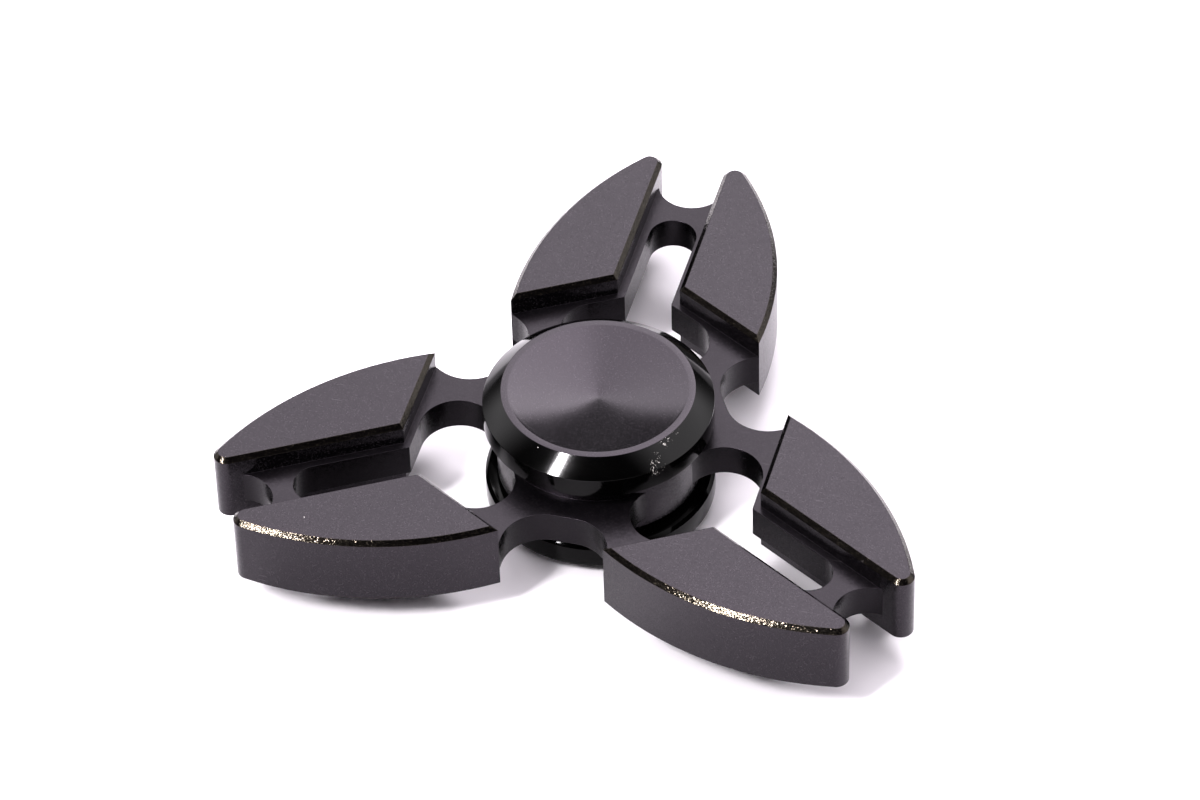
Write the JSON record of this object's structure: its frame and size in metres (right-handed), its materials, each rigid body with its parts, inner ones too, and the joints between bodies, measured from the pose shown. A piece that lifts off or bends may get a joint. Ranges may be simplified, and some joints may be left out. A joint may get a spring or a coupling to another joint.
{
  "type": "fidget spinner",
  "caption": "Milled aluminium fidget spinner with paired claw arms, turning on a shielded ball bearing between two dished finger caps.",
  "frame": {"origin": "centre of the bearing, on the spin axis, half-way between the two finger caps", "axes": "+Z along the spin axis, out of the top cap; +Y along the first arm"},
  "size_m": [0.0606, 0.0532, 0.0128],
  "materials": {
    "frame_anodised": "bead-blasted and black anodised, satin, with bright chamfers",
    "cap_anodised": "finely turned and black anodised, glossy bevel and satin dish",
    "bearing_steel": "ground bearing steel",
    "ball_steel": "polished bearing steel",
    "cage_steel": "pressed sheet, slightly dull",
    "shield_steel": "pressed sheet and spring wire"
  },
  "bodies": {
    "core": {"top_cap": "cap_anodised", "bottom_cap": "cap_anodised", "bearing_inner_ring": "bearing_steel"},
    "spinner": {"spinner_frame": "frame_anodised", "bearing_outer_ring": "bearing_steel", "top_shield": "shield_steel", "bottom_shield": "shield_steel", "top_shield_clip": "shield_steel", "bottom_shield_clip": "shield_steel"},
    "cage": {"cage_upper": "cage_steel", "cage_lower": "cage_steel"},
    "ball_1": {"ball_1": "ball_steel"},
    "ball_2": {"ball_2": "ball_steel"},
    "ball_3": {"ball_3": "ball_steel"},
    "ball_4": {"ball_4": "ball_steel"},
    "ball_5": {"ball_5": "ball_steel"},
    "ball_6": {"ball_6": "ball_steel"},
    "ball_7": {"ball_7": "ball_steel"},
    "ball_8": {"ball_8": "ball_steel"},
    "ball_9": {"ball_9": "ball_steel"},
    "ball_10": {"ball_10": "ball_steel"}
  },
  "joints": [
    {"name": "frame_spin", "type": "hinge", "parent": "core", "child": "spinner", "pos_m": [0, 0, 0], "axis": [0, 0, 1], "continuous": true},
    {"name": "cage_orbit", "type": "hinge", "parent": "core", "child": "cage", "pos_m": [0, 0, 0], "axis": [0, 0, 1], "continuous": true},
    {"name": "ball_1_roll", "type": "hinge", "parent": "cage", "child": "ball_1", "pos_m": [0, 0.00476, 0], "axis": [0, 0, 1], "continuous": true},
    {"name": "ball_2_roll", "type": "hinge", "parent": "cage", "child": "ball_2", "pos_m": [-0.0028, 0.00385, 0], "axis": [0, 0, 1], "continuous": true},
    {"name": "ball_3_roll", "type": "hinge", "parent": "cage", "child": "ball_3", "pos_m": [-0.00453, 0.00147, 0], "axis": [0, 0, 1], "continuous": true},
    {"name": "ball_4_roll", "type": "hinge", "parent": "cage", "child": "ball_4", "pos_m": [-0.00453, -0.00147, 0], "axis": [0, 0, 1], "continuous": true},
    {"name": "ball_5_roll", "type": "hinge", "parent": "cage", "child": "ball_5", "pos_m": [-0.0028, -0.00385, 0], "axis": [0, 0, 1], "continuous": true},
    {"name": "ball_6_roll", "type": "hinge", "parent": "cage", "child": "ball_6", "pos_m": [0, -0.00476, 0], "axis": [0, 0, 1], "continuous": true},
    {"name": "ball_7_roll", "type": "hinge", "parent": "cage", "child": "ball_7", "pos_m": [0.0028, -0.00385, 0], "axis": [0, 0, 1], "continuous": true},
    {"name": "ball_8_roll", "type": "hinge", "parent": "cage", "child": "ball_8", "pos_m": [0.00453, -0.00147, 0], "axis": [0, 0, 1], "continuous": true},
    {"name": "ball_9_roll", "type": "hinge", "parent": "cage", "child": "ball_9", "pos_m": [0.00453, 0.00147, 0], "axis": [0, 0, 1], "continuous": true},
    {"name": "ball_10_roll", "type": "hinge", "parent": "cage", "child": "ball_10", "pos_m": [0.0028, 0.00385, 0], "axis": [0, 0, 1], "continuous": true}
  ],
  "couplings": [
    {"joint": "cage_orbit", "follows": "frame_spin", "ratio": 0.58333},
    {"joint": "ball_1_roll", "follows": "frame_spin", "ratio": 2.9167},
    {"joint": "ball_2_roll", "follows": "frame_spin", "ratio": 2.9167},
    {"joint": "ball_3_roll", "follows": "frame_spin", "ratio": 2.9167},
    {"joint": "ball_4_roll", "follows": "frame_spin", "ratio": 2.9167},
    {"joint": "ball_5_roll", "follows": "frame_spin", "ratio": 2.9167},
    {"joint": "ball_6_roll", "follows": "frame_spin", "ratio": 2.9167},
    {"joint": "ball_7_roll", "follows": "frame_spin", "ratio": 2.9167},
    {"joint": "ball_8_roll", "follows": "frame_spin", "ratio": 2.9167},
    {"joint": "ball_9_roll", "follows": "frame_spin", "ratio": 2.9167},
    {"joint": "ball_10_roll", "follows": "frame_spin", "ratio": 2.9167}
  ]
}
